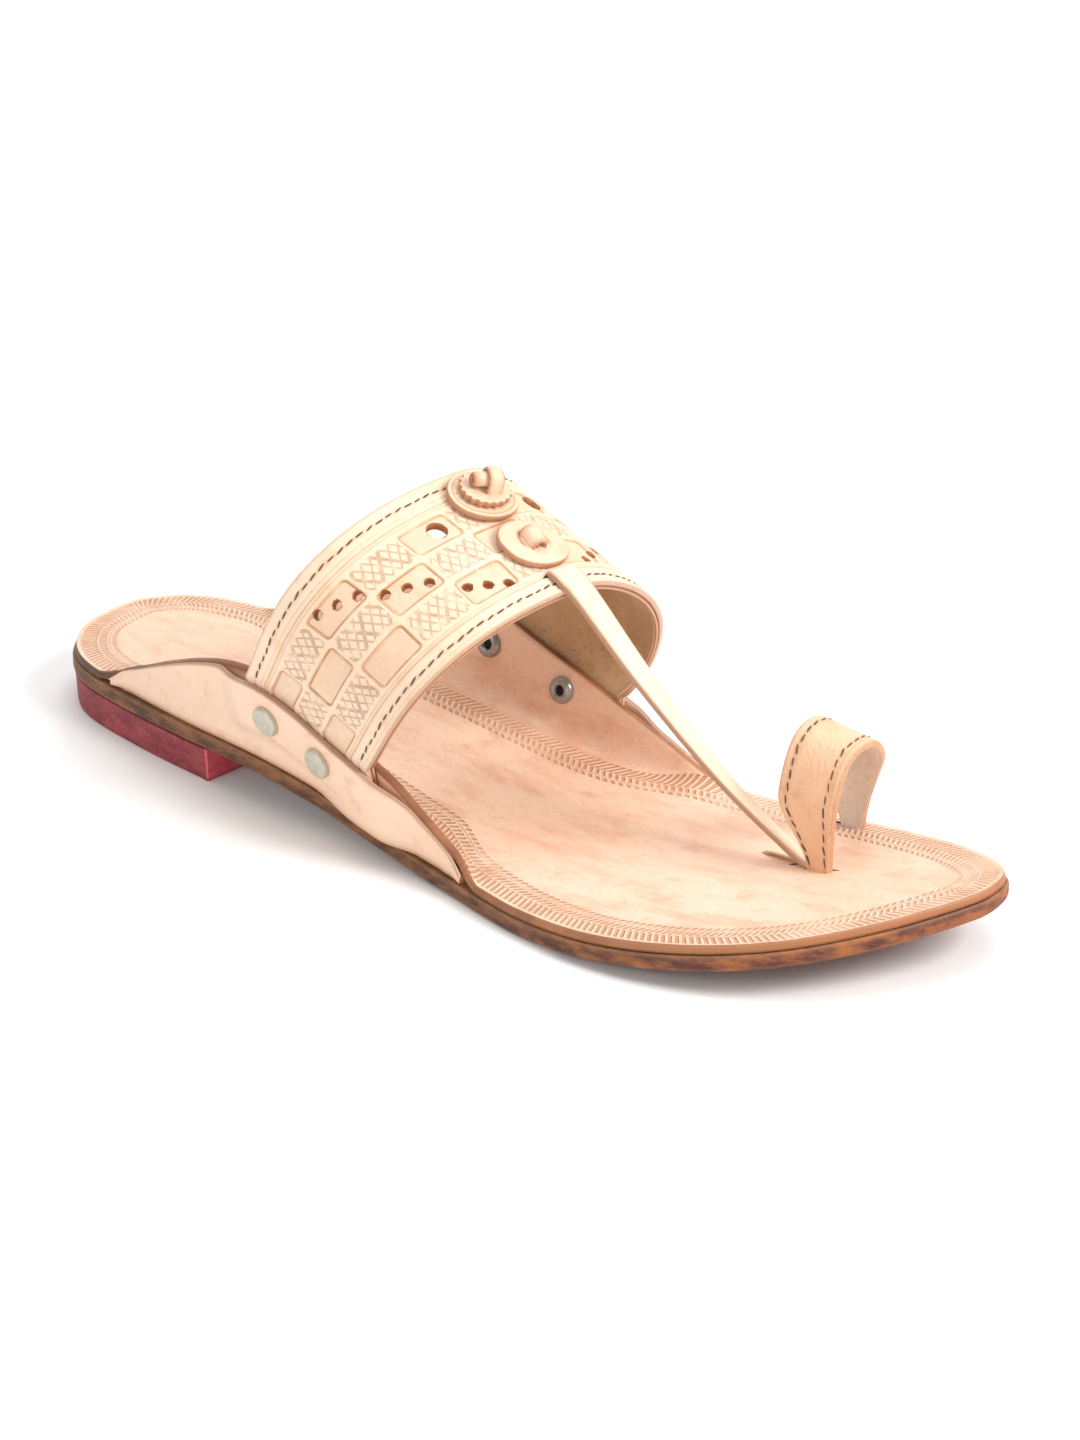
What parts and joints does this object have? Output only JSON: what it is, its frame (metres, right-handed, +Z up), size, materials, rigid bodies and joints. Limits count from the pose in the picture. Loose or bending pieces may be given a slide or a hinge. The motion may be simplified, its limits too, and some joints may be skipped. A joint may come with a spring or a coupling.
{
  "type": "kolhapuri sandal",
  "caption": "Right-foot flat leather sandal with a punched instep band, a thong, a big-toe loop, turned-up side ears and a low block heel.",
  "frame": {"origin": "on the floor under the middle of the heel block's flat underside", "axes": "+X towards the toe, +Y towards the inner (medial) side, +Z up"},
  "size_m": [0.2815, 0.0923, 0.088],
  "materials": {
    "outsole_leather": "dyed dark brown, burnished edge",
    "heel_leather": "stacked and dyed red",
    "insole_leather": "smooth vegetable tanned, stamped border",
    "band_leather": "pale, tooled, satin",
    "button_leather": "natural tan, satin",
    "rivet_metal": "dull plated"
  },
  "bodies": {
    "root": {"outsole": "outsole_leather", "heel_block": "heel_leather", "insole": "insole_leather", "ear_lateral": "insole_leather", "ear_medial": "insole_leather", "upper": "band_leather", "rear_button_disc": "button_leather", "rear_button_pinked": "button_leather", "rear_button_knot": "button_leather", "front_button_disc": "button_leather", "front_button_knot": "button_leather", "rivet_outer_rear": "rivet_metal", "rivet_outer_front": "rivet_metal", "rivet_inner_rear": "rivet_metal", "rivet_inner_front": "rivet_metal"}
  },
  "joints": []
}
